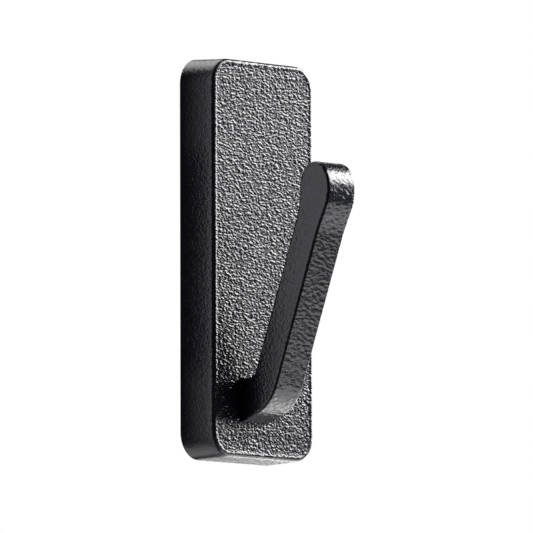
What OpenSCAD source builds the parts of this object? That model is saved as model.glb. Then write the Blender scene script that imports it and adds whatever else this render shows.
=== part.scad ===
// Wall hook with a concealed fixing: a hollow cover with one leaning arm hangs on a
// hidden bracket and is locked by a set screw in its right side. Lengths in millimetres.
// +Z is up, the wall is the plane y = 0 and the front faces -Y.
// The origin is midway between the bracket's two screw holes, on its back face.

/* [Cover] */
// Height of the cover
cover_h = 80; // [76:1:100]
// Width of the cover at the wall
cover_w = 31; // [30:0.5:45]
// Distance from the wall to the front face
cover_d = 8.6; // [8.6:0.1:11]
// Radius of the cover's four corners
corner_r = 5.3; // [3:0.1:8]
// Radius of the rounded front edge
edge_r = 0.8; // [0.4:0.1:1.2]
// How much each side leans in from the wall to the front
draft = 0.35; // [0:0.05:0.8]
// Thickness of the front and of the four side walls
wall_t = 2; // [1.8:0.1:2.2]

/* [Arm] */
// Width of the arm
arm_w = 8.2; // [7.6:0.1:12]
// Thickness of the arm above its root
arm_t = 6.3; // [5:0.1:8]
// Height of the root where it meets the cover
root_h = 8.8; // [8.6:0.1:11]
// Height of the root's middle above the middle of the cover
root_z = -28.25; // [-29:0.25:-27]
// Sideways place of the arm, measured from the middle of the cover
arm_x = -2.8; // [-4:0.1:4]
// Angle of the arm from the vertical
arm_lean = 20; // [14:1:24]
// Distance from the front face to the arm's middle line at root height
elbow_reach = 4.95; // [4.5:0.05:8]
// Height from the root's middle to the top of the tip
arm_rise = 46.35; // [40:0.05:56]
// Radius of the wall side of the bend that stands the tip upright
inner_bend_r = 19; // [12:1:30]
// Radius of the room side of the same bend
outer_bend_r = 12; // [8:1:30]
// Height of the rounded tip above the bend
tip_h = 5.2; // [4:0.1:6]
// How far the room side swells below the tip
tip_swell = 0.6; // [0:0.1:1]
// Radius of the arm's long edges
arm_edge_r = 0.5; // [0.3:0.1:1.2]

/* [Bracket] */
// Thickness of the bracket's sheet
sheet_t = 1.6; // [1.4:0.1:1.8]
// Width of the bracket
bracket_w = 18; // [16:0.5:20]
// Height of the side tab that the set screw bears on
tab_h = 8; // [6:0.5:9]
// Distance between the two wall screw holes
hole_gap = 32; // [28:1:34]
// Diameter of the wall screw holes
hole_d = 4.5; // [4:0.1:5]

/* [Fixings] */
// Diameter of the arm screw and of the set screw
thread_d = 4; // [3.5:0.1:4.2]
// Length of the arm screw below its head
screw_len = 6; // [5:0.5:6]

/* [Hidden] */
$fn = 64;

// Clearances
eps = 0.02;             // parts that touch face to face
thread_gap = 0.05;      // round a screw in its thread
seat_gap = 0.05;        // ledge above flange, set screw beside tab
wall_gap = 0.1;         // cover's rim to the wall
over = 1;               // how far a cutter runs past a face

// Cover
inner_y = -(cover_d - wall_t);
cavity_top = cover_h / 2 - wall_t;
edge_steps = 4;
slab_t = 0.01;

// Bracket: a flat strip, a joggled lip at the top and a tab folded forward at the right
bend_in = 0.8;
bend_out = bend_in + sheet_t;
flange_top = 30;
lip_top = flange_top + 1.8;
joggle_y = -3.6;        // where the flange turns up into the lip
strip_foot = -34;
tab_z = -28;
tab_end = -6.1;
tab_relief = 0.6;

// Ledge inside the cover that rests on the bracket's flange
ledge_front = joggle_y - bend_in + 0.2;
ledge_back = -2.2;
ledge_z = flange_top + seat_gap;
ledge_w = 16;

// Guide ribs inside the cover, one pair on each side of the bracket
rib_t = 1.2;
rib_h = 12;
rib_x = bracket_w / 2 + 0.3;
rib_zs = [-12, 12];

// Set screw, along X through a boss on the right side wall
set_y = -4;
set_tip = bracket_w / 2 + seat_gap;
set_len = 6;
socket_af = 2;
socket_depth = 2.2;
chamfer = 0.5;
boss_d = 7.2;
boss_x = bracket_w / 2 + 1.6;

// Arm: tenon, arm screw and washers share one axis
tenon = 6.4;
slot = tenon + 0.1;
screw_z = root_z + 0.35;
bore_end = -12.2;
washer_d = 9;
washer_t = 0.8;
washer_bore = 4.4;
spring_d = 7.6;
spring_t = 1;
spring_slit = 0.9;
head_d = 8;
head_h = 2.6;
cross_w = 1;
cross_len = 4.4;
cross_depth = 1.5;
washer_y = inner_y + washer_t;
spring_y = washer_y + spring_t;

// Arm outline in the Y-Z plane, as pairs of an inner and an outer point
front_y = -cover_d - eps;
up = [-sin(arm_lean), cos(arm_lean)];       // along the leaning stretch
back = [cos(arm_lean), sin(arm_lean)];      // across it, towards the wall
elbow = [-cover_d - elbow_reach, root_z];
tip_top = root_z + arm_rise;
bend_z = tip_top - tip_h;
stretch_z = -20;                            // first level section above the root
swell_run = 9.5;                            // the swelling starts this far below the bend's end
swell_end = 2;                              // and is complete this far below it
under_rise = [-cos(20), sin(20)];           // slope of the root's underside at the cover
crotch_run = 1.5;       // from the corner above the root to each end of its curve
elbow_run = 4.5;        // the same for the corner below
root_steps = 8;
bend_steps = 10;
tip_steps = 7;

// A point of the quadratic curve through p[0] and p[2] with its corner at p[1]
function curve(p, t) = (1 - t) * (1 - t) * p[0] + 2 * t * (1 - t) * p[1] + t * t * p[2];

// Where the line from p along u meets the line from q along v
function meet(p, u, q, v) =
    p + u * ((q[0] - p[0]) * v[1] - (q[1] - p[1]) * v[0]) / (u[0] * v[1] - u[1] * v[0]);

inner_line = elbow + arm_t / 2 * back;
outer_line = elbow - arm_t / 2 * back;
inner_start = [front_y, root_z + root_h / 2];
outer_start = [front_y, root_z - root_h / 2];
inner_corner = meet(inner_start, [-1, 0], inner_line, up);
outer_corner = meet(outer_start, under_rise, outer_line, up);
inner_root = [inner_corner - crotch_run * [-1, 0], inner_corner, inner_corner + crotch_run * up];
outer_root = [outer_corner - elbow_run * under_rise, outer_corner, outer_corner + elbow_run * up];

// Y of one side of the arm at height z: a leaning line that an arc of radius r turns upright
function side_y(reach, r, z) =
    let (
        line = -cover_d - reach - tan(arm_lean) * (z - root_z),
        tip = -cover_d - reach - tan(arm_lean) * (bend_z - r * sin(arm_lean) - root_z)
            - r * (1 - cos(arm_lean)),
        below = bend_z - z
    )
    below < r * sin(arm_lean) ? tip + r - sqrt(r * r - below * below) : line;

// Swelling of the room side at height z
function swell(z) =
    let (t = max(0, min(1, (z - bend_z + swell_run) / (swell_run - swell_end))))
    tip_swell * t * t * (3 - 2 * t);

half_reach = arm_t / 2 / cos(arm_lean);
function level(z) = [
    [side_y(elbow_reach - half_reach, inner_bend_r, z), z],
    [side_y(elbow_reach + half_reach, outer_bend_r, z) - swell(z), z]];

tip_mid = (level(bend_z)[0][0] + level(bend_z)[1][0]) / 2;
tip_half = (level(bend_z)[0][0] - level(bend_z)[1][0]) / 2;

stations = concat(
    [[inner_start, outer_start]],
    [for (i = [0 : root_steps])
        [curve(inner_root, i / root_steps), curve(outer_root, i / root_steps)]],
    [level(stretch_z)],
    [for (i = [0 : bend_steps]) level(bend_z - swell_run * (1 - i / bend_steps))],
    [for (i = [1 : tip_steps])
        let (a = 88 * i / tip_steps, z = bend_z + tip_h * sin(a))
        [[tip_mid + tip_half * cos(a), z], [tip_mid - tip_half * cos(a), z]]]
);

corner_steps = 3;
ring_n = 4 * (corner_steps + 1);

// One rounded section of the arm, spanned from an inner point to an outer point
function ring(inner, outer) =
    let (
        mid = (inner + outer) / 2,
        half = norm(outer - inner) / 2,
        dir = (outer - inner) / (2 * half),
        r = min(arm_edge_r, half * 0.9),
        sx = [1, -1, -1, 1],
        sv = [1, 1, -1, -1]
    )
    [for (q = [0 : 3], k = [0 : corner_steps])
        let (
            a = 90 * q + 90 * k / corner_steps,
            x = sx[q] * (arm_w / 2 - r) + r * cos(a),
            v = sv[q] * (half - r) + r * sin(a)
        )
        [arm_x + x, mid[0] + v * dir[0], mid[1] + v * dir[1]]];

// Skin of the arm: rings joined by triangles, closed by a flat cap at each end
module swept_arm() {
    n = len(stations);
    skin = [for (s = stations) each ring(s[0], s[1])];
    sides = [for (i = [0 : n - 2], j = [0 : ring_n - 1])
        let (a = i * ring_n + j, b = i * ring_n + (j + 1) % ring_n)
        each [[a, b, b + ring_n], [a, b + ring_n, a + ring_n]]];
    first = [[for (j = [ring_n - 1 : -1 : 0]) j]];
    last = [[for (j = [0 : ring_n - 1]) (n - 1) * ring_n + j]];
    polyhedron(points = skin, faces = concat(sides, first, last));
}

// Runs along -Y from y = 0
module towards_front() {
    rotate([90, 0, 0]) children();
}

// Cylinder along Y from y0 to y1 on the arm screw's axis
module on_screw_axis(d, y0, y1) {
    translate([arm_x, y1, screw_z]) towards_front() cylinder(d = d, h = y1 - y0);
}

// Cylinder along X from x0 to x1 on the set screw's axis
module on_set_axis(d, x0, x1) {
    translate([x0, set_y, tab_z]) rotate([0, 90, 0]) cylinder(d = d, h = x1 - x0);
}

// Rounded rectangle in the X-Z plane, from y0 to y1
module rounded_slab(w, low_z, high_z, r, y0, y1) {
    for (side = [-1, 1], z = [low_z + r, high_z - r])
        translate([side * (w / 2 - r), y1, z]) towards_front() cylinder(r = r, h = y1 - y0);
    translate([-w / 2, y0, low_z + r]) cube([w, y1 - y0, high_z - low_z - 2 * r]);
    translate([-w / 2 + r, y0, low_z]) cube([w - 2 * r, y1 - y0, high_z - low_z]);
}

// Outline of the cover at depth y, drawn in by inset
module cover_slab(y, inset) {
    half_h = cover_h / 2 - inset;
    rounded_slab(cover_w - 2 * inset, -half_h, half_h, corner_r - inset, y, y + slab_t);
}

module cover_block() {
    edge_y = -(cover_d - edge_r);
    hull($fn = 32) {
        cover_slab(-wall_gap - slab_t, 0, $fn = 32);
        for (i = [0 : edge_steps]) {
            a = 90 * i / edge_steps;
            cover_slab(edge_y - edge_r * sin(a), draft + edge_r * (1 - cos(a)), $fn = 32);
        }
    }
}

// Ledge that hangs from the top wall behind the bracket's lip
module ledge() {
    turn = bend_in;
    translate([-ledge_w / 2, 0, 0])
        rotate([90, 0, 90])
            linear_extrude(height = ledge_w)
                polygon([
                    [ledge_back, ledge_z],
                    [ledge_front + turn, ledge_z],
                    [ledge_front, ledge_z + turn],
                    [ledge_front, cavity_top + over / 2],
                    [ledge_back, cavity_top + over / 2]
                ]);
}

module guide_ribs() {
    for (side = [-1, 1], z = rib_zs)
        translate([side * (rib_x + rib_t / 2) - rib_t / 2, inner_y - over / 2, z - rib_h / 2])
            cube([rib_t, -inner_y + over / 2 - sheet_t / 2, rib_h]);
}

module cover() {
    color([0.09, 0.09, 0.1]) {
        difference() {
            cover_block();
            rounded_slab(cover_w - 2 * wall_t, -cavity_top, cavity_top, corner_r - wall_t,
                inner_y, over);
            on_set_axis(thread_d + 2 * thread_gap, boss_x, cover_w / 2 + over);
            translate([arm_x - slot / 2, -cover_d - over, screw_z - slot / 2])
                cube([slot, wall_t + 2 * over, slot]);
        }
        difference() {
            on_set_axis(boss_d, boss_x, cover_w / 2 - wall_t / 2);
            on_set_axis(thread_d + 2 * thread_gap, boss_x - over, cover_w / 2 + over);
        }
        ledge();
        guide_ribs();
    }
}

module arm() {
    color([0.07, 0.07, 0.08])
        difference() {
            union() {
                swept_arm();
                translate([arm_x - tenon / 2, front_y - over, screw_z - tenon / 2])
                    cube([tenon, wall_t - eps + over, tenon]);
            }
            on_screw_axis(thread_d + 2 * thread_gap, bore_end, 0);
        }
}

module arm_washer() {
    color([0.72, 0.72, 0.7])
        difference() {
            on_screw_axis(washer_d, inner_y + eps, washer_y);
            on_screw_axis(washer_bore, inner_y - over, washer_y + over);
        }
}

module spring_washer() {
    color([0.62, 0.62, 0.6])
        difference() {
            on_screw_axis(spring_d, washer_y + eps, spring_y);
            on_screw_axis(washer_bore, washer_y - over, spring_y + over);
            translate([arm_x, (washer_y + spring_y) / 2, screw_z + spring_d / 2])
                rotate([0, 0, 30])
                    cube([spring_slit, 2 * spring_t + over, spring_d / 2], center = true);
        }
}

// Pan head machine screw with a cross recess
module arm_screw() {
    head_y = spring_y + eps;
    color([0.75, 0.75, 0.73])
        difference() {
            union() {
                on_screw_axis(thread_d, head_y - screw_len, head_y);
                on_screw_axis(head_d, head_y, head_y + head_h * 0.6);
                translate([arm_x, head_y + head_h * 0.6, screw_z])
                    rotate([-90, 0, 0])
                        cylinder(d1 = head_d, d2 = head_d - 2, h = head_h * 0.4);
            }
            for (a = [0, 90])
                translate([arm_x, head_y + head_h, screw_z])
                    rotate([0, a, 0])
                        cube([cross_w, 2 * cross_depth, cross_len], center = true);
        }
}

// Quarter of a bent sheet about c, in the quadrant given by the signs
module bent_quarter(c, side_y, side_z) {
    translate(c)
        intersection() {
            difference() {
                circle(r = bend_out);
                circle(r = bend_in);
            }
            translate([side_y < 0 ? -bend_out : 0, side_z < 0 ? -bend_out : 0])
                square(bend_out);
        }
}

// Side outline of the strip with its lip
module strip_outline() {
    top_c = [-bend_out, flange_top - bend_out];
    lip_c = [joggle_y, flange_top + bend_in];
    translate([-sheet_t, strip_foot]) square([sheet_t, top_c[1] - strip_foot]);
    bent_quarter(top_c, 1, 1);
    translate([joggle_y, flange_top - sheet_t]) square([-bend_out - joggle_y, sheet_t]);
    bent_quarter(lip_c, -1, -1);
    translate([joggle_y - bend_out, lip_c[1]]) square([sheet_t, lip_top - lip_c[1]]);
}

// Plan outline of the tab, bent forward along the strip's right edge
module tab_outline() {
    fold_c = [bracket_w / 2 - bend_out, -bend_out];
    bent_quarter(fold_c, 1, 1);
    translate([fold_c[0] - tab_relief, -sheet_t]) square([tab_relief, sheet_t]);
    translate([bracket_w / 2 - sheet_t, tab_end]) square([sheet_t, fold_c[1] - tab_end]);
}

module wall_bracket() {
    notch_h = tab_h + 2 * tab_relief;
    color([0.66, 0.67, 0.68]) {
        difference() {
            translate([-bracket_w / 2, 0, 0])
                rotate([90, 0, 90])
                    linear_extrude(height = bracket_w) strip_outline();
            for (z = [-hole_gap / 2, hole_gap / 2])
                translate([0, over, z])
                    towards_front() cylinder(d = hole_d, h = sheet_t + 2 * over);
            translate([bracket_w / 2 - bend_out, -sheet_t - over, tab_z - notch_h / 2])
                cube([bend_out + over, sheet_t + 2 * over, notch_h]);
        }
        translate([0, 0, tab_z - tab_h / 2])
            linear_extrude(height = tab_h) tab_outline();
    }
}

// Socket set screw with a chamfered point, driven from the right
module set_screw() {
    color([0.2, 0.2, 0.21])
        translate([set_tip, set_y, tab_z])
            rotate([0, 90, 0])
                difference() {
                    union() {
                        cylinder(d1 = thread_d - 2 * chamfer, d2 = thread_d, h = chamfer);
                        translate([0, 0, chamfer]) cylinder(d = thread_d, h = set_len - chamfer);
                    }
                    translate([0, 0, set_len - socket_depth])
                        cylinder(d = socket_af / cos(30), h = socket_depth + over, $fn = 6);
                }
}

cover();
arm();
arm_washer();
spring_washer();
arm_screw();
wall_bracket();
set_screw();
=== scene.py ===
"""Looks of a black wall hook: a wrinkle-coated cover and arm, and the plated parts behind them."""

import math

import bmesh
import bpy
import numpy as np
from bpy.props import FloatProperty, FloatVectorProperty, IntProperty, PointerProperty
from mathutils import Matrix, Vector


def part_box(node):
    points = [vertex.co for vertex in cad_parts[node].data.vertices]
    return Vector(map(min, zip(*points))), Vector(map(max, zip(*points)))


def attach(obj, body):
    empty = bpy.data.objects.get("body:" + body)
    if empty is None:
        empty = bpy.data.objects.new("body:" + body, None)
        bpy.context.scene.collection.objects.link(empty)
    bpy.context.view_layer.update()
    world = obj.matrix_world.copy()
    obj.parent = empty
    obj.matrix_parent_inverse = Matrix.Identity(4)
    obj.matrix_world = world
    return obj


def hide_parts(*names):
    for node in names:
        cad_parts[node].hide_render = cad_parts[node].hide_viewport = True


bl_info = {
    "name": "Wrinkle-coated wall hook",
    "version": (1, 0, 0),
    "blender": (4, 5, 0),
    "location": "3D View > Sidebar > Wall hook",
    "description": "Builds the looks of a wall hook with a concealed bracket",
    "category": "Object",
}

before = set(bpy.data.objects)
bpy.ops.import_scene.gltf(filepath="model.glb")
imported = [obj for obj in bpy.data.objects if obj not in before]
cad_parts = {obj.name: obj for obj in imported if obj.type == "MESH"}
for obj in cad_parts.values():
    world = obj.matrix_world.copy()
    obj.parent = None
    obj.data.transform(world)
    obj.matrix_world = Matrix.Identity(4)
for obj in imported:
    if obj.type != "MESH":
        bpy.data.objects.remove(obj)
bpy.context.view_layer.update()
COVER_LOW, COVER_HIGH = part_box("cover")
ARM_LOW, ARM_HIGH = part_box("arm")
ARM_SCREW_LOW, ARM_SCREW_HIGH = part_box("arm_screw")
WASHER_LOW, WASHER_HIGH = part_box("arm_washer")
BRACKET_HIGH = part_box("wall_bracket")[1]
SET_LOW, SET_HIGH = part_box("set_screw")

MM = 0.001
TENON_X = (WASHER_LOW.x + WASHER_HIGH.x) / 2
TENON_Z = (WASHER_LOW.z + WASHER_HIGH.z) / 2
SET_AXIS = ((SET_LOW.y + SET_HIGH.y) / 2, (SET_LOW.z + SET_HIGH.z) / 2)
BORE_RADIUS = 2.05 * MM         # round both M4 screws
TENON_HALF = 3.2 * MM           # half the width of the arm's tenon
SLOT_HALF = 3.25 * MM           # half the width of the slot that takes it
ARM_BORE_END = -12.2 * MM       # Y of the bottom of the arm's screw hole
UNDER_SLOPE = math.radians(20)  # rise of the root's underside away from the cover
STRETCH_START = 8.25 * MM       # height above the root's middle where the straight stretch begins
SWELL_START = 9.5 * MM          # the swelling begins this far below the bend's top
SWELL_END = 2 * MM              # and is complete this far below it
GLOW_COLOUR = (0.9, 0.9, 1.0)


# ---------------------------------------------------------------- settings


class CoverSettings(bpy.types.PropertyGroup):
    """Sizes of the cover that the CAD box doesn't give."""

    corner: FloatProperty(name="Corner radius",
                          description="Radius of the four corners at the wall",
                          default=5.3 * MM, unit="LENGTH")
    edge: FloatProperty(name="Front edge radius",
                        description="Radius of the edge round the front face",
                        default=0.8 * MM, unit="LENGTH")
    draft: FloatProperty(name="Draft", description="How much each side leans in from wall to front",
                         default=0.35 * MM, unit="LENGTH")
    wall: FloatProperty(name="Wall", description="Thickness of the front and side walls",
                        default=2 * MM, unit="LENGTH")
    mesh_x: FloatProperty(name="Mesh step across",
                          description="Spacing of the front's mesh across it",
                          default=0.22 * MM, unit="LENGTH")
    mesh_z: FloatProperty(name="Mesh step up", description="Spacing of the front's mesh up it",
                          default=0.13 * MM, unit="LENGTH")


class ArmSettings(bpy.types.PropertyGroup):
    """Outline of the arm in side view."""

    thickness: FloatProperty(name="Thickness", description="Thickness of the arm above its root",
                             default=6.3 * MM, unit="LENGTH")
    root: FloatProperty(name="Root height", description="Height of the root at the cover",
                        default=8.8 * MM, unit="LENGTH")
    lean: FloatProperty(name="Lean", description="Angle of the arm from the vertical",
                        default=math.radians(20), subtype="ANGLE")
    elbow: FloatProperty(name="Elbow reach",
                         description="Front face to the middle line at root height",
                         default=4.95 * MM, unit="LENGTH")
    crotch: FloatProperty(name="Crotch run",
                          description="Corner above the root to each end of its curve",
                          default=1.5 * MM, unit="LENGTH")
    knee: FloatProperty(name="Elbow run",
                        description="Corner below the elbow to each end of its curve",
                        default=4.5 * MM, unit="LENGTH")
    inner_bend: FloatProperty(name="Inner bend", description="Radius of the bend's wall side",
                              default=19 * MM, unit="LENGTH")
    outer_bend: FloatProperty(name="Outer bend", description="Radius of the bend's room side",
                              default=12 * MM, unit="LENGTH")
    tip: FloatProperty(name="Tip height", description="Height of the rounded tip above the bend",
                       default=5.2 * MM, unit="LENGTH")
    swell: FloatProperty(name="Swelling", description="How far the room side swells below the tip",
                         default=0.6 * MM, unit="LENGTH")
    edge: FloatProperty(name="Edge radius", description="Radius of the arm's long edges",
                        default=0.5 * MM, unit="LENGTH")
    mesh_step: FloatProperty(name="Mesh step", description="Spacing of the arm's mesh",
                             default=0.2 * MM, unit="LENGTH")


class CoatSettings(bpy.types.PropertyGroup):
    """The wrinkled powder coat of cover and arm."""

    colour: FloatVectorProperty(name="Colour", description="Colour of the coat", subtype="COLOR",
                                size=3, default=(0.009, 0.010, 0.016), min=0, max=1)
    wrinkle: FloatProperty(name="Wrinkle size",
                           description="Width of one wrinkle on the cover's front",
                           default=0.33 * MM, unit="LENGTH")
    depth: FloatProperty(name="Wrinkle depth",
                         description="Depth between wrinkles on the cover's front",
                         default=0.345 * MM, unit="LENGTH")
    grain: FloatProperty(name="Grain size",
                         description="Width of the fine grain on top of the wrinkles",
                         default=0.3 * MM, unit="LENGTH")
    seed: IntProperty(name="Seed", description="Seed of the wrinkles", default=7)


class FixingSettings(bpy.types.PropertyGroup):
    """The plated screws behind the cover."""

    pitch: FloatProperty(name="Thread pitch", description="Rise of the threads in one turn",
                         default=0.7 * MM, unit="LENGTH")
    thread: FloatProperty(name="Thread", description="Outside diameter of both threads",
                          default=4 * MM, unit="LENGTH")
    head: FloatProperty(name="Head height", description="Height of the arm screw's head",
                        default=2.58 * MM, unit="LENGTH")
    socket: FloatProperty(name="Socket", description="Width across flats of the set screw's socket",
                          default=2 * MM, unit="LENGTH")
    zinc: FloatVectorProperty(name="Zinc", subtype="COLOR",
                              description="Colour of the zinc plating",
                              size=3, default=(0.62, 0.65, 0.68), min=0, max=1)
    oxide: FloatVectorProperty(name="Black oxide", subtype="COLOR",
                               description="Colour of the set screw",
                               size=3, default=(0.06, 0.06, 0.065), min=0, max=1)
    steel: FloatVectorProperty(name="Steel", subtype="COLOR",
                               description="Colour of the bracket's sheet",
                               size=3, default=(0.56, 0.56, 0.57), min=0, max=1)


class StageSettings(bpy.types.PropertyGroup):
    """Camera, lights and floor."""

    azimuth: FloatProperty(name="Azimuth", description="Turn of the camera round the hook",
                           default=math.radians(-48.7), subtype="ANGLE")
    elevation: FloatProperty(name="Elevation", description="Angle of the camera above the horizon",
                             default=math.radians(-5.1), subtype="ANGLE")
    roll: FloatProperty(name="Roll", description="Turn of the camera about its own axis",
                        default=math.radians(0.13), subtype="ANGLE")
    distance: FloatProperty(name="Distance", description="Camera to the middle of the hook",
                            default=2.5, unit="LENGTH")
    lens: FloatProperty(name="Lens", description="Focal length in millimetres", default=846.5)
    aim_right: FloatProperty(name="Aim right",
                             description="How far right of the origin the camera aims",
                             default=7.02 * MM, unit="LENGTH")
    aim_up: FloatProperty(name="Aim up", description="How far above the origin the camera aims",
                          default=-0.7 * MM, unit="LENGTH")
    key: FloatProperty(name="Key light", description="Radiance of the softbox at the right front",
                       default=10)
    high: FloatProperty(name="High light", description="Radiance of the softbox high at the front",
                        default=10)
    top: FloatProperty(name="Top light", description="Radiance of the softbox above and behind",
                       default=3)
    fill: FloatProperty(name="Wall glow",
                        description="Radiance of the wall beside the hook", default=1.4)
    low_right: FloatProperty(name="Low right light", default=4.08,
                             description="Radiance of the softbox low at the right")
    low_front: FloatProperty(name="Low front light", default=2.295,
                             description="Radiance of the softbox low at the front")
    below: FloatProperty(name="Low light", description="Radiance of the softbox below and behind",
                         default=1)
    floor_drop: FloatProperty(name="Floor", description="How far below the hook the floor lies",
                              default=2.6, unit="LENGTH")


# ---------------------------------------------------------------- mesh helpers


def new_object(name, verts, faces):
    """A mesh object at the origin, linked to the scene."""
    mesh = bpy.data.meshes.new(name)
    mesh.from_pydata([tuple(v) for v in verts], [], [tuple(f) for f in faces])
    mesh.validate()
    obj = bpy.data.objects.new(name, mesh)
    bpy.context.scene.collection.objects.link(obj)
    return obj


def bake(obj):
    """Replaces an object's mesh by its evaluated one and drops its modifiers."""
    graph = bpy.context.evaluated_depsgraph_get()
    mesh = bpy.data.meshes.new_from_object(obj.evaluated_get(graph), depsgraph=graph)
    obj.modifiers.clear()
    obj.data = mesh


def combine(target, tool, operation):
    """Boolean of target with tool; the tool is used up."""
    step = target.modifiers.new("combine", "BOOLEAN")
    step.operation = operation
    step.solver = "MANIFOLD"
    step.object = tool
    bake(target)
    bpy.data.objects.remove(tool)
    if not target.data.polygons:
        raise RuntimeError(f"nothing is left of {target.name}")
    return target


def box_tool(low, high):
    """A plain block for cutting or joining, from its low corner to its high corner."""
    xs, ys, zs = zip(low, high)
    verts = [(x, y, z) for x in xs for y in ys for z in zs]
    faces = [(0, 1, 3, 2), (4, 6, 7, 5), (0, 4, 5, 1), (2, 3, 7, 6), (0, 2, 6, 4), (1, 5, 7, 3)]
    return new_object("tool", verts, faces)


def prism_tool(outline, axis, start, end, shrink=1.0):
    """A closed prism along one axis, its outline in the other two; the far end can be smaller."""
    place = {"x": lambda p, t: (t, p[0], p[1]), "y": lambda p, t: (p[0], t, p[1]),
             "z": lambda p, t: (p[0], p[1], t)}[axis]
    n = len(outline)
    far = [(a * shrink, b * shrink) for a, b in outline]
    verts = [place(p, start) for p in outline] + [place(p, end) for p in far]
    faces = [tuple(range(n)), tuple(range(2 * n - 1, n - 1, -1))]
    faces += [(i, n + i, n + (i + 1) % n, (i + 1) % n) for i in range(n)]
    obj = new_object("tool", verts, faces)
    face_outwards(obj)
    return obj


def rod_tool(centre, axis, radius, start, end, sides=48):
    """A closed cylinder along X or Y about a centre given in the other two directions."""
    turn = [2 * math.pi * (i + 0.5) / sides for i in range(sides)]
    outline = [(centre[0] + radius * math.cos(a), centre[1] + radius * math.sin(a)) for a in turn]
    return prism_tool(outline, axis, start, end)


def rounded_outline(half_w, low, high, radius, steps=10):
    """Points of a rounded rectangle in X-Z, anticlockwise from the lower right corner."""
    corners = [(half_w, low, -90), (half_w, high, 0), (-half_w, high, 90), (-half_w, low, 180)]
    points = []
    for x, z, first in corners:
        cx = x - math.copysign(radius, x)
        cz = z + radius if z == low else z - radius
        for i in range(steps + 1):
            a = math.radians(first + 90 * i / steps)
            points.append((cx + radius * math.cos(a), cz + radius * math.sin(a)))
    return points


def face_outwards(obj):
    """Recalculates a closed mesh's normals so that its faces point out."""
    work = bmesh.new()
    work.from_mesh(obj.data)
    bmesh.ops.remove_doubles(work, verts=work.verts, dist=1e-7)
    bmesh.ops.recalc_face_normals(work, faces=work.faces)
    work.to_mesh(obj.data)
    work.free()


def shade(obj, crease=60):
    """Smooth shading, with edges over the crease angle kept sharp."""
    obj.data.shade_smooth()
    obj.data.set_sharp_from_angle(angle=math.radians(crease))


def set_grain(obj, values):
    """Stores how strongly the wrinkles act at each vertex."""
    layer = obj.data.attributes.new("grain", "FLOAT", "POINT")
    layer.data.foreach_set("value", np.asarray(values, np.float32))


def finish_piece(obj, body, node):
    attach(obj, body)
    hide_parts(node)


# ---------------------------------------------------------------- node helpers


class Nodes:
    """Short calls for laying out a node tree."""

    def __init__(self, tree):
        self.tree = tree

    def add(self, kind, **values):
        node = self.tree.nodes.new(kind)
        for name, value in values.items():
            setattr(node, name, value)
        return node

    def join(self, source, target):
        self.tree.links.new(source, target)

    def math(self, operation, a, b=None):
        node = self.add("ShaderNodeMath", operation=operation)
        for socket, value in zip(node.inputs, (a, b)):
            if value is None:
                continue
            if isinstance(value, bpy.types.NodeSocket):
                self.join(value, socket)
            else:
                socket.default_value = value
        return node.outputs[0]

    def noise(self, vector, scale, detail=2.0, roughness=0.5, distortion=0.0):
        node = self.add("ShaderNodeTexNoise")
        self.join(vector, node.inputs["Vector"])
        for name, value in (("Scale", scale), ("Detail", detail), ("Roughness", roughness),
                            ("Distortion", distortion)):
            if isinstance(value, bpy.types.NodeSocket):
                self.join(value, node.inputs[name])
            else:
                node.inputs[name].default_value = value
        return node.outputs[0]

    def ramp(self, value, low, high, to_low=0.0, to_high=1.0):
        node = self.add("ShaderNodeMapRange")
        self.join(value, node.inputs["Value"])
        for name, number in (("From Min", low), ("From Max", high),
                             ("To Min", to_low), ("To Max", to_high)):
            node.inputs[name].default_value = number
        return node.outputs[0]


# ---------------------------------------------------------------- geometry node trees


def tree_input(tree, name, kind, default=None):
    socket = tree.interface.new_socket(name=name, in_out="INPUT", socket_type=kind)
    if default is not None:
        socket.default_value = default


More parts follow.
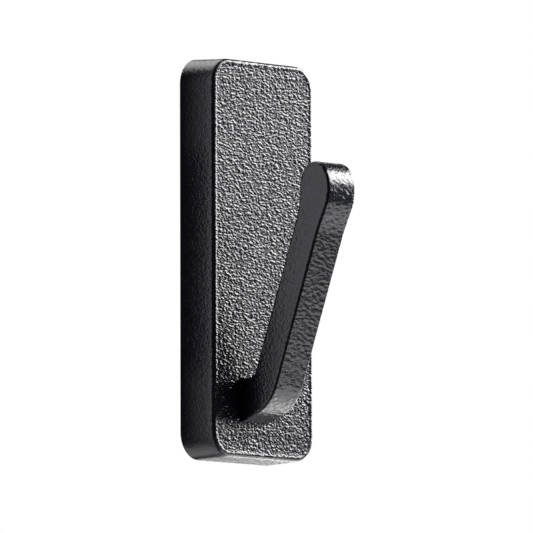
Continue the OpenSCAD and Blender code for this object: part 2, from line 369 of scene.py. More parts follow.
def wrinkle_tree():
    """Geometry Nodes: moves a surface along its normal by stretched noise with creases.

    The height is taken less the level and cut off at the cap; a cap of 0 only moves inwards.
    """
    tree = bpy.data.node_groups.new("wrinkle_coat", "GeometryNodeTree")
    tree_input(tree, "Geometry", "NodeSocketGeometry")
    tree_input(tree, "Wrinkle size", "NodeSocketFloat", 0.001)
    tree_input(tree, "Wrinkle depth", "NodeSocketFloat", 0.0001)
    tree_input(tree, "Creases", "NodeSocketFloat", 1.0)
    tree_input(tree, "Level", "NodeSocketFloat", 0.8)
    tree_input(tree, "Cap", "NodeSocketFloat", 0.0)
    tree_input(tree, "Stretch", "NodeSocketVector", (1, 1, 1))
    tree_input(tree, "Slant", "NodeSocketFloat", 0.0)
    tree_input(tree, "Seed", "NodeSocketFloat", 0.0)
    tree_input(tree, "Material", "NodeSocketMaterial")
    tree.interface.new_socket(name="Geometry", in_out="OUTPUT", socket_type="NodeSocketGeometry")
    n = Nodes(tree)
    given = n.add("NodeGroupInput")
    out = n.add("NodeGroupOutput")
    place = n.add("ShaderNodeVectorMath", operation="MULTIPLY")
    n.join(n.add("GeometryNodeInputPosition").outputs[0], place.inputs[0])
    n.join(given.outputs["Stretch"], place.inputs[1])
    parts = n.add("ShaderNodeSeparateXYZ")
    n.join(place.outputs[0], parts.inputs[0])
    sheared = n.add("ShaderNodeCombineXYZ")
    n.join(parts.outputs["X"], sheared.inputs["X"])
    n.join(parts.outputs["Y"], sheared.inputs["Y"])
    slide = n.math("MULTIPLY", parts.outputs["X"], given.outputs["Slant"])
    n.join(n.math("ADD", parts.outputs["Z"], slide), sheared.inputs["Z"])
    shift = n.add("ShaderNodeVectorMath", operation="ADD")
    n.join(sheared.outputs[0], shift.inputs[0])
    n.join(given.outputs["Seed"], shift.inputs[1])
    scale = n.math("DIVIDE", 1.0, given.outputs["Wrinkle size"])
    bumps = n.noise(shift.outputs[0], scale, detail=0.0, roughness=0.5, distortion=0.3)
    fold = n.math("ABSOLUTE", n.math("SUBTRACT", n.math("MULTIPLY", bumps, 2.0), 1.0))
    height = n.add("ShaderNodeMix", data_type="FLOAT")
    n.join(given.outputs["Creases"], height.inputs["Factor"])
    n.join(bumps, height.inputs["A"])
    n.join(n.math("MULTIPLY", fold, 1.5), height.inputs["B"])
    low = n.math("MINIMUM", n.math("SUBTRACT", height.outputs["Result"], given.outputs["Level"]),
                 given.outputs["Cap"])
    grain = n.add("GeometryNodeInputNamedAttribute", data_type="FLOAT")
    grain.inputs["Name"].default_value = "grain"
    deep = n.math("MULTIPLY", low, given.outputs["Wrinkle depth"])
    amount = n.math("MULTIPLY", deep, grain.outputs[0])
    push = n.add("ShaderNodeVectorMath", operation="SCALE")
    n.join(n.add("GeometryNodeInputNormal").outputs[0], push.inputs[0])
    n.join(amount, push.inputs["Scale"])
    move = n.add("GeometryNodeSetPosition")
    n.join(given.outputs["Geometry"], move.inputs["Geometry"])
    n.join(push.outputs[0], move.inputs["Offset"])
    real = n.add("GeometryNodeRealizeInstances")
    paint = n.add("GeometryNodeSetMaterial")
    n.join(move.outputs[0], real.inputs[0])
    n.join(real.outputs[0], paint.inputs["Geometry"])
    n.join(given.outputs["Material"], paint.inputs["Material"])
    n.join(paint.outputs[0], out.inputs[0])


def thread_tree():
    """Geometry Nodes: a shank along Z with a helical ridge, from z = 0 to its length."""
    tree = bpy.data.node_groups.new("thread", "GeometryNodeTree")
    tree_input(tree, "Radius", "NodeSocketFloat", 0.002)
    tree_input(tree, "Length", "NodeSocketFloat", 0.006)
    tree_input(tree, "Pitch", "NodeSocketFloat", 0.0007)
    tree_input(tree, "Material", "NodeSocketMaterial")
    tree.interface.new_socket(name="Geometry", in_out="OUTPUT", socket_type="NodeSocketGeometry")
    n = Nodes(tree)
    given = n.add("NodeGroupInput")
    out = n.add("NodeGroupOutput")
    ridge = n.math("MULTIPLY", given.outputs["Pitch"], 0.5)
    groove = n.math("MULTIPLY", given.outputs["Pitch"], 0.55)
    core = n.math("SUBTRACT", given.outputs["Radius"], groove)
    shank = n.add("GeometryNodeMeshCylinder")
    shank.inputs["Vertices"].default_value = 32
    n.join(core, shank.inputs["Radius"])
    n.join(given.outputs["Length"], shank.inputs["Depth"])
    lift = n.add("ShaderNodeCombineXYZ")
    n.join(n.math("MULTIPLY", given.outputs["Length"], 0.5), lift.inputs["Z"])
    raise_shank = n.add("GeometryNodeTransform")
    n.join(shank.outputs["Mesh"], raise_shank.inputs["Geometry"])
    n.join(lift.outputs[0], raise_shank.inputs["Translation"])
    helix = n.add("GeometryNodeCurveSpiral")
    helix.inputs["Resolution"].default_value = 28
    run = n.math("SUBTRACT", given.outputs["Length"], given.outputs["Pitch"])
    n.join(n.math("DIVIDE", run, given.outputs["Pitch"]), helix.inputs["Rotations"])
    n.join(n.math("SUBTRACT", given.outputs["Radius"], ridge), helix.inputs["Start Radius"])
    n.join(n.math("SUBTRACT", given.outputs["Radius"], ridge), helix.inputs["End Radius"])
    n.join(run, helix.inputs["Height"])
    lift_helix = n.add("ShaderNodeCombineXYZ")
    n.join(ridge, lift_helix.inputs["Z"])
    raise_helix = n.add("GeometryNodeTransform")
    n.join(helix.outputs[0], raise_helix.inputs["Geometry"])
    n.join(lift_helix.outputs[0], raise_helix.inputs["Translation"])
    section = n.add("GeometryNodeCurvePrimitiveCircle")
    section.inputs["Resolution"].default_value = 4
    n.join(n.math("MULTIPLY", ridge, 0.98), section.inputs["Radius"])
    sweep = n.add("GeometryNodeCurveToMesh")
    sweep.inputs["Fill Caps"].default_value = True
    n.join(raise_helix.outputs[0], sweep.inputs["Curve"])
    n.join(section.outputs[0], sweep.inputs["Profile Curve"])
    both = n.add("GeometryNodeMeshBoolean", operation="UNION", solver="MANIFOLD")
    n.join(raise_shank.outputs[0], both.inputs["Mesh 2"])
    n.join(sweep.outputs[0], both.inputs["Mesh 2"])
    real = n.add("GeometryNodeRealizeInstances")
    paint = n.add("GeometryNodeSetMaterial")
    n.join(both.outputs[0], real.inputs[0])
    n.join(real.outputs[0], paint.inputs["Geometry"])
    n.join(given.outputs["Material"], paint.inputs["Material"])
    n.join(paint.outputs[0], out.inputs[0])


def run_tree(obj, tree, **values):
    """Runs a Geometry Nodes tree on an object with the given inputs, and keeps the plain mesh."""
    step = obj.modifiers.new(tree.name, "NODES")
    step.node_group = tree
    for item in tree.interface.items_tree:
        if item.in_out == "INPUT" and item.name in values:
            step[item.identifier] = values[item.name]
    obj.update_tag()
    bpy.context.view_layer.update()
    bake(obj)


# ---------------------------------------------------------------- materials


def new_material(name):
    mat = bpy.data.materials.new(name)
    mat.use_nodes = True
    n = Nodes(mat.node_tree)
    shader = mat.node_tree.nodes["Principled BSDF"]
    coords = n.add("ShaderNodeTexCoord").outputs["Object"]
    return mat, n, shader, coords


def bump(n, height, strength, distance, below=None):
    node = n.add("ShaderNodeBump")
    node.inputs["Strength"].default_value = strength
    node.inputs["Distance"].default_value = distance
    n.join(height, node.inputs["Height"])
    if below is not None:
        n.join(below, node.inputs["Normal"])
    return node.outputs[0]


def coat_material(name, colour, grain, roughness, strength):
    """Semi-gloss powder coat with a fine grain, long across, and a faint mottling."""
    mat, n, shader, coords = new_material(name)
    along = n.add("ShaderNodeMapping")
    along.inputs["Scale"].default_value = (0.6, 1, 1)
    n.join(coords, along.inputs["Vector"])
    fine = n.noise(along.outputs[0], 1 / grain, detail=3.0, roughness=0.6)
    coarse = n.noise(along.outputs[0], 0.5 / grain, detail=1.0)
    mottle = n.noise(coords, 1 / (9 * grain), detail=2.0)
    tint = n.add("ShaderNodeMix", data_type="RGBA")
    n.join(n.ramp(mottle, 0.3, 0.7), tint.inputs["Factor"])
    tint.inputs["A"].default_value = (*[c * 0.75 for c in colour], 1)
    tint.inputs["B"].default_value = (*[c * 1.25 for c in colour], 1)
    n.join(tint.outputs["Result"], shader.inputs["Base Color"])
    n.join(n.ramp(fine, 0.3, 0.7, roughness - 0.06, roughness + 0.06), shader.inputs["Roughness"])
    height = n.math("ADD", fine, n.math("MULTIPLY", coarse, 2.0))
    n.join(bump(n, height, strength, grain * 0.3), shader.inputs["Normal"])
    shader.inputs["IOR"].default_value = 1.5
    return mat


def steel_material(name, colour, roughness, stretch, scratch):
    """Metal with fine lines drawn along one direction."""
    mat, n, shader, coords = new_material(name)
    turn = n.add("ShaderNodeMapping")
    turn.inputs["Scale"].default_value = stretch
    n.join(coords, turn.inputs["Vector"])
    lines = n.noise(turn.outputs[0], 1.0, detail=4.0, roughness=0.7)
    spots = n.noise(coords, 420.0, detail=3.0)
    tint = n.add("ShaderNodeMix", data_type="RGBA")
    n.join(n.ramp(spots, 0.3, 0.75), tint.inputs["Factor"])
    tint.inputs["A"].default_value = (*[c * 0.82 for c in colour], 1)
    tint.inputs["B"].default_value = (*[min(1, c * 1.1) for c in colour], 1)
    n.join(tint.outputs["Result"], shader.inputs["Base Color"])
    n.join(n.ramp(lines, 0.25, 0.75, roughness - 0.08, roughness + 0.1), shader.inputs["Roughness"])
    n.join(bump(n, lines, scratch, 0.02 * MM), shader.inputs["Normal"])
    shader.inputs["Metallic"].default_value = 1.0
    return mat


# ---------------------------------------------------------------- cover


def cover_skin(s):
    """The cover's outside as a closed block with a fine front, and its grain at each vertex."""
    front_y, back_y = COVER_LOW.y, COVER_HIGH.y
    half_w, half_h = COVER_HIGH.x, COVER_HIGH.z
    inset = s.draft + s.edge
    hw, hh, rr = half_w - inset, half_h - inset, s.corner - inset
    arc, edge_steps, side_steps = 36, 5, 7
    rim_width, plain_back = 0.7 * MM, 0.3 * MM
    rim_grain, side_grain = 0.3, 0.1
    straight = round(2 * (hh - rr) / s.mesh_z)
    rows = [(-(hh - rr) + rr * math.sin(a), a) for a in np.linspace(-math.pi / 2, 0, arc + 1)]
    rows += [(z, 0.0) for z in np.linspace(-(hh - rr), hh - rr, straight + 1)[1:-1]]
    rows += [((hh - rr) + rr * math.sin(a), a) for a in np.linspace(0, math.pi / 2, arc + 1)]
    columns = round(2 * hw / s.mesh_x)
    verts, grain = [], []
    for z, a in rows:
        reach = hw - rr + rr * math.cos(a)
        for x in np.linspace(-reach, reach, columns + 1):
            verts.append((x, front_y, z))
            grain.append(min(1, rim_grain + min(reach - abs(x), hh - abs(z)) / rim_width))
    wide, tall = columns + 1, len(rows)
    faces = [(r * wide + c, r * wide + c + 1, (r + 1) * wide + c + 1, (r + 1) * wide + c)
             for r in range(tall - 1) for c in range(columns)]
    rim, normals = [], []
    for c in range(wide):
        rim.append(c)
        normals.append((0, -1))
    for r in range(1, tall):
        rim.append(r * wide + columns)
        normals.append((math.cos(rows[r][1]), math.sin(rows[r][1])))
    for c in range(columns - 1, -1, -1):
        rim.append((tall - 1) * wide + c)
        normals.append((0, 1))
    for r in range(tall - 2, 0, -1):
        rim.append(r * wide)
        normals.append((-math.cos(rows[r][1]), math.sin(rows[r][1])))
    steps = [(s.edge * math.sin(a), front_y + s.edge * (1 - math.cos(a)),
              rim_grain - 0.2 * math.sin(a))
             for a in np.linspace(0, math.pi / 2, edge_steps + 1)[1:]]
    edge_y = front_y + s.edge
    steps += [(s.edge + s.draft * (y - edge_y) / (back_y - edge_y), y, side_grain)
              for y in np.linspace(edge_y, back_y, side_steps + 1)[1:]]
    base = [verts[i] for i in rim]
    last = rim
    for out, y, rough in steps:
        first = len(verts)
        verts += [(p[0] + out * nx, y, p[2] + out * nz) for p, (nx, nz) in zip(base, normals)]
        grain += [rough if y < back_y - plain_back else 0.0] * len(base)
        ring = list(range(first, first + len(base)))
        faces += [(last[i], ring[i], ring[(i + 1) % len(ring)], last[(i + 1) % len(ring)])
                  for i in range(len(ring))]
        last = ring
    faces.append(tuple(last))
    return verts, faces, grain


def cavity_tool(s):
    """The hollow behind the cover, less the ledge, the ribs and the boss that stand in it."""
    back_y = COVER_HIGH.y
    inner_y = COVER_LOW.y + s.wall
    half_w, half_h = COVER_HIGH.x - s.wall, COVER_HIGH.z - s.wall
    outline = rounded_outline(half_w, -half_h, half_h, s.corner - s.wall)
    tool = prism_tool(outline, "y", inner_y, back_y + MM)
    lip = 1.8 * MM
    flange = BRACKET_HIGH.z - lip
    ledge = [(-2.2, 0.05), (-3.4, 0.05), (-4.2, 0.85), (-4.2, 9.0), (-2.2, 9.0)]
    ledge = [(y * MM, flange + z * MM) for y, z in ledge]
    combine(tool, prism_tool(ledge, "x", -8 * MM, 8 * MM), "DIFFERENCE")
    rib_x, rib_t, rib_h, rib_z = BRACKET_HIGH.x + 0.3 * MM, 1.2 * MM, 12 * MM, 12 * MM
    for side in (-1, 1):
        for z in (-rib_z, rib_z):
            xs = sorted((side * rib_x, side * (rib_x + rib_t)))
            rib = box_tool((xs[0], inner_y - MM, z - rib_h / 2), (xs[1], -0.8 * MM, z + rib_h / 2))
            combine(tool, rib, "DIFFERENCE")
    boss_r, boss_gap = 3.6 * MM, 1.6 * MM
    boss = rod_tool(SET_AXIS, "x", boss_r, BRACKET_HIGH.x + boss_gap, COVER_HIGH.x)
    return combine(tool, boss, "DIFFERENCE")


class HOOK_OT_cover(bpy.types.Operator):
    """Builds the wrinkled cover with its hollow back"""

    bl_idname = "hook.cover"
    bl_label = "Cover"

    def execute(self, context):
        s, coat = context.scene.hook_cover, context.scene.hook_coat
        verts, faces, grain = cover_skin(s)
        cover = new_object("hook_cover", verts, faces)
        set_grain(cover, grain)
        face_outwards(cover)
        mat = coat_material("cover_coat", coat.colour, coat.grain, 0.18, 0.5)
        run_tree(cover, bpy.data.node_groups["wrinkle_coat"], **{
            "Wrinkle size": coat.wrinkle, "Wrinkle depth": coat.depth, "Creases": 0.35,
            "Stretch": (0.55, 1, 1), "Slant": 0.35,
            "Seed": coat.seed * 0.01, "Material": mat})
        combine(cover, cavity_tool(s), "DIFFERENCE")
        slot = box_tool((TENON_X - SLOT_HALF, COVER_LOW.y - MM, TENON_Z - SLOT_HALF),
                        (TENON_X + SLOT_HALF, COVER_LOW.y + s.wall + MM, TENON_Z + SLOT_HALF))
        combine(cover, slot, "DIFFERENCE")
        bore = rod_tool(SET_AXIS, "x", BORE_RADIUS, BRACKET_HIGH.x + 0.5 * MM, COVER_HIGH.x + MM)
        combine(cover, bore, "DIFFERENCE")
        cover.data.materials.clear()
        cover.data.materials.append(mat)
        shade(cover)
        finish_piece(cover, "hook", "cover")
        return {"FINISHED"}


# ---------------------------------------------------------------- arm


def quadratic(p, t):
    """Points of the quadratic curve through p[0] and p[2] with its corner at p[1]."""
    t = np.asarray(t)[:, None]
    return (1 - t) ** 2 * p[0] + 2 * t * (1 - t) * p[1] + t ** 2 * p[2]


def meet(p, u, q, v):
    """Where the line from p along u meets the line from q along v."""
    return p + u * ((q[0] - p[0]) * v[1] - (q[1] - p[1]) * v[0]) / (u[0] * v[1] - u[1] * v[0])


def side_y(s, reach, r, z, root_z, bend_z):
    """Y of one side of the arm at heights z: a leaning line, then an arc that turns it upright."""
    line = COVER_LOW.y - reach - math.tan(s.lean) * (z - root_z)
    drop = r * math.sin(s.lean)
    tip = COVER_LOW.y - reach - math.tan(s.lean) * (bend_z - drop - root_z)
    tip -= r * (1 - math.cos(s.lean))
    below = bend_z - z
    return np.where(below < drop, tip + r - np.sqrt(r * r - np.minimum(below, drop) ** 2), line)


def arm_sides(s):
    """The arm's two outlines in Y-Z, wall side and room side, with their outward normals."""
    front = ARM_HIGH.y if ARM_HIGH.y < COVER_LOW.y else COVER_LOW.y - 0.02 * MM
    root_z = ARM_LOW.z + s.root / 2
    up = np.array([-math.sin(s.lean), math.cos(s.lean)])
    back = np.array([math.cos(s.lean), math.sin(s.lean)])
    elbow = np.array([COVER_LOW.y - s.elbow, root_z])
    half = s.thickness / 2
    inner_start, outer_start = (np.array([front, root_z + k * s.root / 2]) for k in (1, -1))
    under = np.array([-math.cos(UNDER_SLOPE), math.sin(UNDER_SLOPE)])
    in_way = np.array([-1.0, 0.0])
    inner_corner = meet(inner_start, in_way, elbow + half * back, up)
    outer_corner = meet(outer_start, under, elbow - half * back, up)
    inner_root = (inner_corner - s.crotch * in_way, inner_corner, inner_corner + s.crotch * up)
    outer_root = (outer_corner - s.knee * under, outer_corner, outer_corner + s.knee * up)
    lead_steps = round(np.linalg.norm(outer_root[0] - outer_start) / s.mesh_step)
    lead = np.linspace(0, 1, lead_steps)[:-1, None]
    root_t = np.linspace(0, 1, round(2 * s.knee / s.mesh_step))
    inner = [inner_start + lead * (inner_root[0] - inner_start), quadratic(inner_root, root_t)]
    outer = [outer_start + lead * (outer_root[0] - outer_start), quadratic(outer_root, root_t)]
    bend_z = ARM_HIGH.z - s.tip
    first_z = root_z + STRETCH_START
    z = np.linspace(first_z, bend_z, round((bend_z - first_z) / s.mesh_step))
    reach = half / math.cos(s.lean)
    t = np.clip((z - bend_z + SWELL_START) / (SWELL_START - SWELL_END), 0, 1)
    inner_y = side_y(s, s.elbow - reach, s.inner_bend, z, root_z, bend_z)
    outer_y = side_y(s, s.elbow + reach, s.outer_bend, z, root_z, bend_z)
    outer_y -= s.swell * t * t * (3 - 2 * t)
    middle_y, tip_half = (inner_y[-1] + outer_y[-1]) / 2, (inner_y[-1] - outer_y[-1]) / 2
    tip_arc, gap_length = 7 * MM, 4 * MM
    a = np.linspace(0, math.pi / 2, round(tip_arc / s.mesh_step))[1:, None]
    gap = np.linspace(0, 1, round(gap_length / s.mesh_step))[1:-1, None]
    for line, y, side in ((inner, inner_y, 1), (outer, outer_y, -1)):
        line.append(line[-1][-1] + gap * (np.array([y[0], z[0]]) - line[-1][-1]))
        line.append(np.stack([y, z], 1))
        line.append(np.hstack([middle_y + side * tip_half * np.cos(a), bend_z + s.tip * np.sin(a)]))
    inner, outer = np.vstack(inner), np.vstack(outer)
    normals = []
    for line, side in ((inner, 1), (outer, -1)):
        way = np.gradient(line, axis=0)
        way /= np.linalg.norm(way, axis=1)[:, None]
        normal = side * np.stack([way[:, 1], -way[:, 0]], 1)
        normal[-1] = (0, 1)
        normals.append(normal)
    return inner, outer, normals[0], normals[1]


def arm_skin(s):
    """The arm's surface: a rounded section carried along both outlines."""
    inner, outer, n_in, n_out = arm_sides(s)
    mid_x = (ARM_LOW.x + ARM_HIGH.x) / 2
    half_w = (ARM_HIGH.x - ARM_LOW.x) / 2
    flat = half_w - s.edge
    across = np.linspace(-flat, flat, round(2 * flat / s.mesh_step))
    through = np.linspace(0, 1, round(s.thickness / s.mesh_step))[1:-1]
    turn = np.linspace(0, math.pi / 2, 6)
    broad_grain, edge_grain, side_grain = 0.6, 0.45, 0.3
    low_in, low_out = inner - s.edge * n_in, outer - s.edge * n_out
    verts, grain = [], []
    for i in range(len(inner)):
        ring = [(x, *inner[i]) for x in across]
        rough = [broad_grain] * len(ring)
        for a in turn[1:]:
            p = low_in[i] + s.edge * math.cos(a) * n_in[i]
            ring.append((flat + s.edge * math.sin(a), *p))
            rough.append(edge_grain)
        for t in through:
            ring.append((half_w, *(low_in[i] + t * (low_out[i] - low_in[i]))))
            rough.append(side_grain)
        for a in turn[::-1]:
            p = low_out[i] + s.edge * math.cos(a) * n_out[i]
            ring.append((flat + s.edge * math.sin(a), *p))
            rough.append(edge_grain)
        ring += [(x, *outer[i]) for x in across[::-1][1:]]
        rough += [broad_grain] * (len(across) - 1)
        for a in turn[1:]:
            p = low_out[i] + s.edge * math.cos(a) * n_out[i]
            ring.append((-flat - s.edge * math.sin(a), *p))
            rough.append(edge_grain)
        for t in through[::-1]:
            ring.append((-half_w, *(low_in[i] + t * (low_out[i] - low_in[i]))))
            rough.append(side_grain)
        for a in turn[::-1][:-1]:
            p = low_in[i] + s.edge * math.cos(a) * n_in[i]
            ring.append((-flat - s.edge * math.sin(a), *p))
            rough.append(edge_grain)
        verts += [(mid_x + x, y, z) for x, y, z in ring]
        grain += rough
    n = len(ring)
    faces = [(i * n + j, i * n + (j + 1) % n, (i + 1) * n + (j + 1) % n, (i + 1) * n + j)
             for i in range(len(inner) - 1) for j in range(n)]
    faces.append(tuple(range(n)))
    return verts, faces, grain


class HOOK_OT_arm(bpy.types.Operator):
    """Builds the arm with its tenon and screw hole"""

    bl_idname = "hook.arm"
    bl_label = "Arm"

    def execute(self, context):
        s, coat = context.scene.hook_arm, context.scene.hook_coat
        verts, faces, grain = arm_skin(s)
        arm = new_object("hook_arm", verts, faces)
        set_grain(arm, grain)
        face_outwards(arm)
        mat = coat_material("arm_coat", coat.colour, coat.grain, 0.2, 0.3)
        run_tree(arm, bpy.data.node_groups["wrinkle_coat"], **{
            "Wrinkle size": coat.wrinkle * 1.2, "Wrinkle depth": coat.depth * 0.7, "Creases": 0.0,
            "Level": 0.5, "Cap": 1.0, "Stretch": (0.35, 1, 1), "Seed": coat.seed * 0.02,
            "Material": mat})
        for v in arm.data.vertices:
            v.co.y = max(v.co.y, ARM_LOW.y)
        tenon = box_tool((TENON_X - TENON_HALF, COVER_LOW.y - MM, TENON_Z - TENON_HALF),
                         (TENON_X + TENON_HALF, ARM_HIGH.y, TENON_Z + TENON_HALF))
        combine(arm, tenon, "UNION")
        bore = rod_tool((TENON_X, TENON_Z), "y", BORE_RADIUS, ARM_BORE_END, 0)
        combine(arm, bore, "DIFFERENCE")
        arm.data.materials.clear()
        arm.data.materials.append(mat)
        shade(arm)
        finish_piece(arm, "hook", "arm")
        return {"FINISHED"}


# ---------------------------------------------------------------- screws and sheet


def turned_tool(profile, sides=64):
    """A closed solid of revolution round Z; the profile's first and last points lie on the axis."""
    rings = [[(r * math.cos(2 * math.pi * i / sides), r * math.sin(2 * math.pi * i / sides), z)
              for i in range(sides)] for r, z in profile[1:-1]]
    verts = [(0, 0, profile[0][1]), *[v for ring in rings for v in ring], (0, 0, profile[-1][1])]
    first, last = 1, len(verts) - 1 - sides
    faces = [(0, first + (i + 1) % sides, first + i) for i in range(sides)]
    faces += [(a + i, a + (i + 1) % sides, a + sides + (i + 1) % sides, a + sides + i)
              for a in range(first, last, sides) for i in range(sides)]
    faces += [(last + i, last + (i + 1) % sides, len(verts) - 1) for i in range(sides)]
    obj = new_object("tool", verts, faces)
    face_outwards(obj)
    return obj


def threaded_shank(name, radius, length, pitch, mat):
    """A threaded shank along Z made by the thread tree, with its ends chamfered."""
    shank = new_object(name, [], [])
    run_tree(shank, bpy.data.node_groups["thread"], Radius=radius, Length=length, Pitch=pitch,
             Material=mat)
    bevel = pitch * 0.75
    envelope = turned_tool([(0, 0), (radius - bevel, 0), (radius * 1.01, bevel),
                            (radius * 1.01, length - bevel), (radius - bevel, length), (0, length)])
    return combine(shank, envelope, "INTERSECT")


def settle(obj, matrix, mat):
    """Moves a finished mesh to its place in the hook and leaves one material on it."""
    obj.data.transform(matrix)
    obj.data.materials.clear()
    obj.data.materials.append(mat)
    shade(obj, 35)


class HOOK_OT_screws(bpy.types.Operator):
    """Builds the arm's screw and the set screw, both with real threads"""

    bl_idname = "hook.screws"
    bl_label = "Screws"

    def execute(self, context):
        s = context.scene.hook_fixing
        zinc = steel_material("zinc_plate", s.zinc, 0.3, (900, 900, 900), 0.25)
        oxide = steel_material("black_oxide", s.oxide, 0.42, (1200, 1200, 1200), 0.3)

        head_r = (ARM_SCREW_HIGH.x - ARM_SCREW_LOW.x) / 2
        middle = (ARM_SCREW_LOW + ARM_SCREW_HIGH) / 2
        seat = ARM_SCREW_HIGH.y - s.head
        length = seat - ARM_SCREW_LOW.y
        screw = threaded_shank("hook_arm_screw", s.thread / 2, length, s.pitch, zinc)
        dome = [(head_r * math.cos(a), -s.head * (0.45 + 0.55 * math.sin(a)))
                for a in np.linspace(0, math.pi / 2, 12)[:-1]]
        head = turned_tool([(0, 0.01 * MM), (head_r - 0.15 * MM, 0.01 * MM), (head_r, -0.15 * MM),
                            *dome, (0, -s.head)])
        combine(screw, head, "UNION")
        long, thin, deep, over = 2.1 * MM, 0.45 * MM, 1.7 * MM, 0.2 * MM
        cross = [(long, -thin), (long, thin), (thin, thin), (thin, long), (-thin, long),
                 (-thin, thin), (-long, thin), (-long, -thin), (-thin, -thin), (-thin, -long),
                 (thin, -long), (thin, -thin)]
        recess = prism_tool(cross, "z", -s.head - over, -s.head + deep, 0.4)
        combine(screw, recess, "DIFFERENCE")
        place = Matrix.Translation((middle.x, seat, middle.z))
        settle(screw, place @ Matrix.Rotation(math.pi / 2, 4, "X"), zinc)
        finish_piece(screw, "hook", "arm_screw")

        middle = (SET_LOW + SET_HIGH) / 2
        length = SET_HIGH.x - SET_LOW.x
        grub = threaded_shank("hook_set_screw", s.thread / 2, length, s.pitch, oxide)
        hexagon = [(s.socket / math.sqrt(3) * math.cos(math.radians(60 * i)),
                    s.socket / math.sqrt(3) * math.sin(math.radians(60 * i))) for i in range(6)]
        deep, over = 2.2 * MM, 0.1 * MM
        combine(grub, prism_tool(hexagon, "z", length + over, length - deep), "DIFFERENCE")
        place = Matrix.Translation((SET_LOW.x, middle.y, middle.z))
        settle(grub, place @ Matrix.Rotation(math.pi / 2, 4, "Y"), oxide)
        finish_piece(grub, "lock", "set_screw")

        for node in ("arm_washer", "spring_washer"):
            dress(node, zinc)
        return {"FINISHED"}


def dress(node, mat):
    """Gives a CAD node a better material."""
    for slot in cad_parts[node].material_slots:
        slot.material = mat


class HOOK_OT_bracket(bpy.types.Operator):
    """Gives the wall bracket its rolled steel sheet"""

    bl_idname = "hook.bracket"
    bl_label = "Wall bracket"

    def execute(self, context):
        s = context.scene.hook_fixing
        rolled = steel_material("rolled_steel", s.steel, 0.36, (2500, 2500, 180), 0.35)
        dress("wall_bracket", rolled)
        return {"FINISHED"}


# ---------------------------------------------------------------- stage


def direction(azimuth, elevation):
    """Unit vector; azimuth 0 is the room side and turns towards +X, in degrees."""
    a, e = math.radians(azimuth), math.radians(elevation)
    return Vector((math.sin(a) * math.cos(e), -math.cos(a) * math.cos(e), math.sin(e)))


def new_light(name, width, height, radiance):
    """A rectangular light of the given size and radiance, linked to the scene."""
    light = bpy.data.lights.new(name, "AREA")
    light.shape = "RECTANGLE"
    light.size, light.size_y = width, height
    light.energy = radiance * math.pi * width * height
    obj = bpy.data.objects.new(name, light)
    bpy.context.scene.collection.objects.link(obj)
    return obj


def area_light(name, azimuth, elevation, distance, half_width, half_height, radiance):
    """A softbox aimed at the middle of the hook, with its half width and height as angles."""
    width, height = (2 * distance * math.tan(math.radians(a)) for a in (half_width, half_height))
    obj = new_light(name, width, height, radiance)
    way = direction(azimuth, elevation)
    obj.location = way * distance
    obj.rotation_mode = "QUATERNION"
    obj.rotation_quaternion = way.to_track_quat("Z", "Y")


def wall_light(name, x, z, width, height, radiance):
    """Light thrown back by the wall: a panel in the wall's plane, facing the room."""
    obj = new_light(name, width, height, radiance)
    obj.data.color = GLOW_COLOUR
    obj.matrix_world = Matrix.Translation((x, MM, z)) @ Matrix.Rotation(-math.pi / 2, 4, "X")


def studio_world(front, behind):
    """Dim surroundings that grow pale behind the hook; the empty background itself is white."""
    world = bpy.data.worlds.new("studio")
    world.use_nodes = True
    n = Nodes(world.node_tree)
    way = n.add("ShaderNodeVectorMath", operation="DOT_PRODUCT")
    n.join(n.add("ShaderNodeTexCoord").outputs["Generated"], way.inputs[0])
    way.inputs[1].default_value = direction(131, -10)
    seen = n.ramp(way.outputs["Value"], 0.74, 0.9, front, behind)
    straight = n.add("ShaderNodeLightPath").outputs["Is Camera Ray"]
    level = n.add("ShaderNodeMix", data_type="FLOAT")
    n.join(straight, level.inputs["Factor"])
    n.join(seen, level.inputs["A"])
    level.inputs["B"].default_value = 1.0
    surface = world.node_tree.nodes["Background"]
    surface.inputs["Color"].default_value = (1, 1, 1, 1)
    n.join(level.outputs["Result"], surface.inputs["Strength"])
    bpy.context.scene.world = world


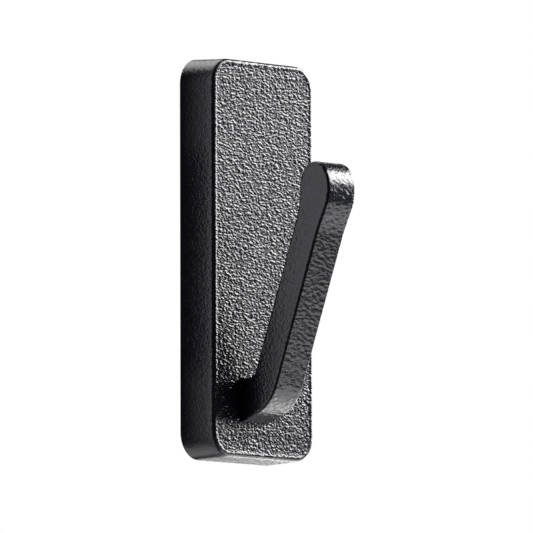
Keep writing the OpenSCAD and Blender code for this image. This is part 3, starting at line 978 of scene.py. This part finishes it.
class HOOK_OT_stage(bpy.types.Operator):
    """Sets up the camera, the lights, the floor and the pale surroundings"""

    bl_idname = "hook.stage"
    bl_label = "Stage"

    def execute(self, context):
        s = context.scene.hook_stage
        back = direction(math.degrees(s.azimuth), math.degrees(s.elevation))
        right = (-back).cross(Vector((0, 0, 1))).normalized()
        up = right.cross(-back)
        location = back * s.distance
        aim = right * s.aim_right + up * s.aim_up
        look = (aim - location).normalized()
        right = look.cross(Vector((0, 0, 1))).normalized()
        up = right.cross(look)
        turned = (Matrix.Rotation(s.roll, 3, look) @ right, Matrix.Rotation(s.roll, 3, look) @ up)
        lens = bpy.data.cameras.new("camera")
        lens.lens = s.lens
        lens.sensor_width = 36
        lens.clip_end = 100
        camera = bpy.data.objects.new("camera", lens)
        axes = Matrix((turned[0], turned[1], -look)).transposed()
        camera.matrix_world = Matrix.Translation(location) @ axes.to_4x4()
        context.scene.collection.objects.link(camera)
        context.scene.camera = camera
        # name, azimuth, elevation, distance, half angles across and up, radiance
        for softbox in (("key", 77, 18, 1.3, 21, 17, s.key),
                        ("high", 48, 30, 1.3, 18, 13, s.high),
                        ("low_right", 108, -24, 0.9, 20, 18, s.low_right),
                        ("overhead", 170, 63, 0.7, 22, 22, s.top),
                        ("low_front", 60, -47, 0.9, 28, 25, s.low_front),
                        ("below", 180, -52, 0.7, 22, 22, s.below)):
            area_light(*softbox)
        # name, X, Z, width and height in millimetres, radiance
        for name, x, z, width, height, radiance in (
                ("wall_glow", -53.5, 0, 52, 150, s.fill),
                ("glow_top", -24, 37, 7, 30, s.fill * 0.2),
                ("glow_low", -24, -37, 7, 30, s.fill * 0.2)):
            wall_light(name, x * MM, z * MM, width * MM, height * MM, radiance)
        studio_world(front=0.03, behind=1.3)
        half = 20                       # metres, so that the floor reaches far past the view
        floor = new_object("floor", [(x, y, -s.floor_drop) for x, y in (
            (-half, -half), (half, -half), (half, half), (-half, half))], [(0, 1, 2, 3)])
        pale, _, shader, _ = new_material("pale_floor")
        shader.inputs["Base Color"].default_value = (0.85, 0.85, 0.85, 1)
        shader.inputs["Roughness"].default_value = 0.8
        floor.data.materials.append(pale)
        context.scene.view_settings.view_transform = "Standard"
        return {"FINISHED"}


# ---------------------------------------------------------------- panel and run


class HOOK_PT_panel(bpy.types.Panel):
    """Lists the hook's settings and operators"""

    bl_idname = "HOOK_PT_panel"
    bl_label = "Wall hook"
    bl_space_type = "VIEW_3D"
    bl_region_type = "UI"
    bl_category = "Wall hook"

    def draw(self, context):
        for operator in OPERATORS:
            self.layout.operator(operator.bl_idname)
        for name, group in SETTINGS.items():
            column = self.layout.column(heading=group.__name__)
            for prop in group.__annotations__:
                column.prop(getattr(context.scene, name), prop)


OPERATORS = (HOOK_OT_cover, HOOK_OT_arm, HOOK_OT_screws, HOOK_OT_bracket, HOOK_OT_stage)
SETTINGS = {"hook_cover": CoverSettings, "hook_arm": ArmSettings, "hook_coat": CoatSettings,
            "hook_fixing": FixingSettings, "hook_stage": StageSettings}


def register():
    for cls in (*SETTINGS.values(), *OPERATORS, HOOK_PT_panel):
        bpy.utils.register_class(cls)
    for name, group in SETTINGS.items():
        setattr(bpy.types.Scene, name, PointerProperty(type=group))


def unregister():
    for name in SETTINGS:
        delattr(bpy.types.Scene, name)
    for cls in (HOOK_PT_panel, *reversed(OPERATORS), *reversed(tuple(SETTINGS.values()))):
        bpy.utils.unregister_class(cls)


def main():
    register()
    wrinkle_tree()
    thread_tree()
    bpy.ops.hook.cover()
    bpy.ops.hook.arm()
    bpy.ops.hook.screws()
    bpy.ops.hook.bracket()
    bpy.ops.hook.stage()


if __name__ == "__main__":
    main()
